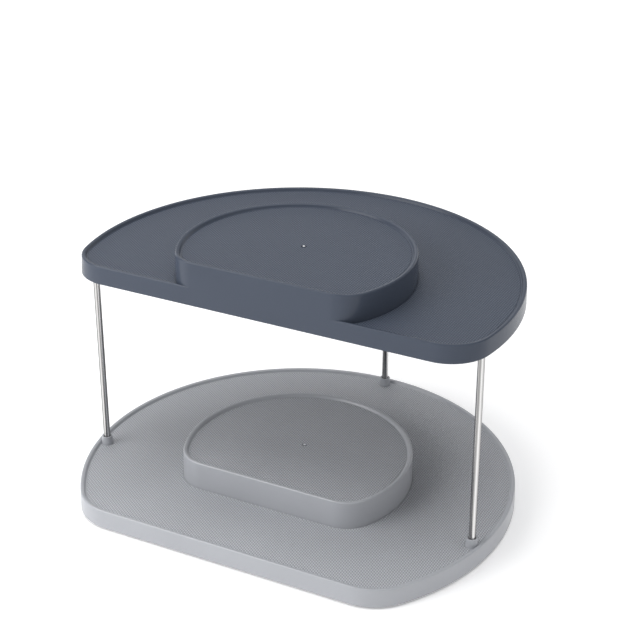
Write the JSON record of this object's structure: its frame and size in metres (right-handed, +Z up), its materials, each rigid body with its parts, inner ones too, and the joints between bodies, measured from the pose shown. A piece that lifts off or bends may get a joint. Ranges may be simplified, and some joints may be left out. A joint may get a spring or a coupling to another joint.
{
  "type": "two-tier turntable organiser",
  "caption": "Two-tier D-shaped turntable with raised platforms on each tray, steel rods between the tiers and a ball-race base, for spice jars and tins.",
  "frame": {"origin": "on the surface the object stands on, under the middle of the lower tray's bounding box", "axes": "+X along the straight front edges, +Y from the straight front to the rounded back, +Z up; the turning axis is parallel to Z, 26.25 mm in front of the origin"},
  "size_m": [0.3498, 0.2974, 0.213],
  "materials": {
    "lower_tray_plastic": "light grey moulded plastic, satin walls, fine dot grain on the shelf and platform floors",
    "upper_tray_plastic": "slate grey moulded plastic, satin walls, fine dot grain on the shelf and platform floors",
    "base_plastic": "mid grey moulded plastic with a fine spark-eroded grain",
    "foot_rubber": "dark soft rubber, matt",
    "cage_plastic": "natural white acetal, slightly translucent, smooth",
    "ball_steel": "polished bearing steel, lightly greased",
    "rod_steel": "polished steel rod",
    "zinc_steel": "bright zinc-plated steel"
  },
  "bodies": {
    "base": {"base_disc": "base_plastic", "foot_1": "foot_rubber", "foot_2": "foot_rubber", "foot_3": "foot_rubber", "foot_4": "foot_rubber", "foot_5": "foot_rubber", "foot_6": "foot_rubber"},
    "cage": {"ball_cage": "cage_plastic", "ball_01": "ball_steel", "ball_02": "ball_steel", "ball_03": "ball_steel", "ball_04": "ball_steel", "ball_05": "ball_steel", "ball_06": "ball_steel", "ball_07": "ball_steel", "ball_08": "ball_steel", "ball_09": "ball_steel", "ball_10": "ball_steel", "ball_11": "ball_steel", "ball_12": "ball_steel", "ball_13": "ball_steel", "ball_14": "ball_steel", "ball_15": "ball_steel", "ball_16": "ball_steel"},
    "carousel": {"race_plate": "cage_plastic", "race_plate_screw_1": "zinc_steel", "race_plate_screw_2": "zinc_steel", "race_plate_screw_3": "zinc_steel", "race_plate_screw_4": "zinc_steel", "pivot_washer": "zinc_steel", "pivot_screw": "zinc_steel", "lower_tray": "lower_tray_plastic", "upper_tray": "upper_tray_plastic", "rod_left": "rod_steel", "rod_washer_left": "zinc_steel", "rod_screw_left": "zinc_steel", "rod_right": "rod_steel", "rod_washer_right": "zinc_steel", "rod_screw_right": "zinc_steel", "rod_back": "rod_steel", "rod_washer_back": "zinc_steel", "rod_screw_back": "zinc_steel"}
  },
  "joints": [
    {"name": "carousel_spin", "type": "hinge", "parent": "base", "child": "carousel", "pos_m": [0, -0.02625, 0], "axis": [0, 0, 1], "continuous": true},
    {"name": "cage_spin", "type": "hinge", "parent": "base", "child": "cage", "pos_m": [0, -0.02625, 0], "axis": [0, 0, 1], "continuous": true}
  ],
  "couplings": [
    {"joint": "cage_spin", "follows": "carousel_spin", "ratio": 0.5}
  ]
}
